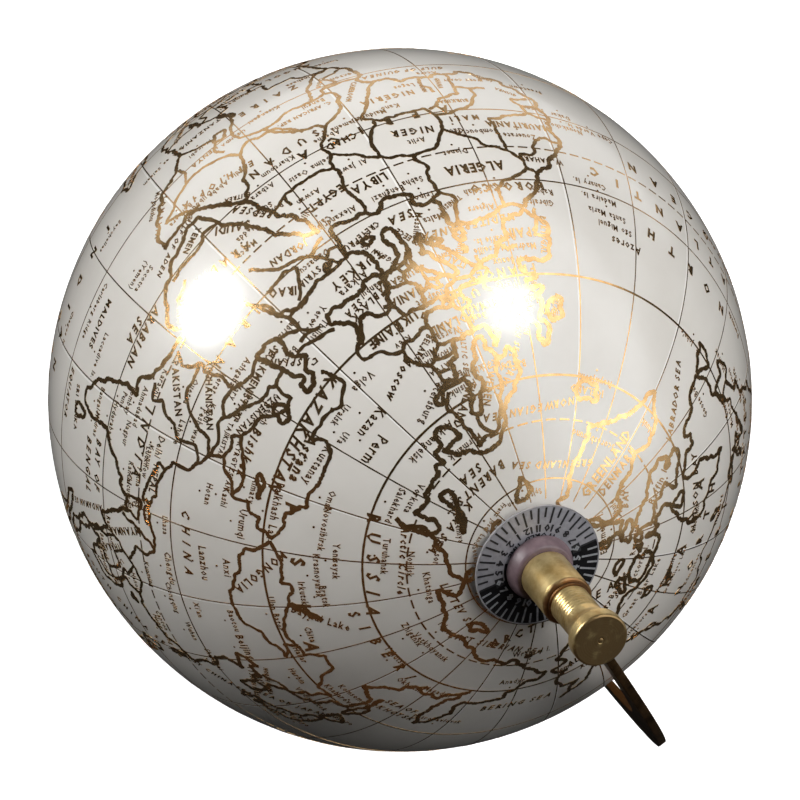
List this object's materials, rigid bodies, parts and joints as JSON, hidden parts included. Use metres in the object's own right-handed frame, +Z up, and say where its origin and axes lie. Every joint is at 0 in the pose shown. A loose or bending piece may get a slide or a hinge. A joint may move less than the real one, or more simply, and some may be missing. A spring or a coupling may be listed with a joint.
{
  "type": "table globe",
  "caption": "Printed ball that spins in a flat brass half-circle arc with a turned knob and an hour dial at the pole, on a weighted wooden base.",
  "frame": {"origin": "centre of the underside of the base, on the table", "axes": "+Z up, +X towards the side that the arc passes and the north pole leans to, +Y across the flat of the arc"},
  "size_m": [0.2225, 0.2, 0.3019],
  "materials": {
    "printed_ball": "high gloss varnish over a pale printed map with metallic gold line work",
    "bare_board": "unpainted inner board",
    "dial_card": "satin, half silver grey and half black, printed with hour marks",
    "nylon": "natural nylon",
    "mauve_plastic": "dusty mauve moulded plastic, lightly scuffed",
    "turned_brass": "turned brass with fine lathe marks and a little tarnish",
    "aged_brass": "flat strip brass, darkened with age",
    "steel": "plain zinc-plated steel",
    "iron": "rough cast",
    "dark_wood": "dark stained and lacquered turned wood",
    "felt": "pressed wool felt"
  },
  "bodies": {
    "stand": {"base_felt": "felt", "base_disc": "dark_wood", "base_weight": "iron", "base_washer": "steel", "base_nut": "steel", "tie_rod": "steel", "stem_ferrule": "turned_brass", "stem_column": "turned_brass", "arc_saddle": "turned_brass", "saddle_screw_left": "turned_brass", "saddle_screw_right": "turned_brass", "saddle_nut_left": "turned_brass", "saddle_nut_right": "turned_brass", "meridian_arc": "aged_brass", "north_boss": "turned_brass", "south_boss": "turned_brass", "north_lock_ring": "aged_brass", "south_lock_ring": "steel", "north_knob": "turned_brass", "south_pivot_screw": "turned_brass", "north_spacer": "mauve_plastic", "south_spacer": "mauve_plastic"},
    "globe": {"ball_north": "printed_ball", "ball_south": "printed_ball", "equator_ring": "bare_board", "north_grommet": "nylon", "south_grommet": "nylon"},
    "dial": {"hour_dial": "dial_card", "dial_hub": "nylon"}
  },
  "joints": [
    {"name": "globe_spin", "type": "hinge", "parent": "stand", "child": "globe", "pos_m": [0, 0, 0.17], "axis": [0.3987, 0, 0.9171], "continuous": true},
    {"name": "dial_turn", "type": "hinge", "parent": "stand", "child": "dial", "pos_m": [0, 0, 0.17], "axis": [0.3987, 0, 0.9171], "continuous": true}
  ]
}
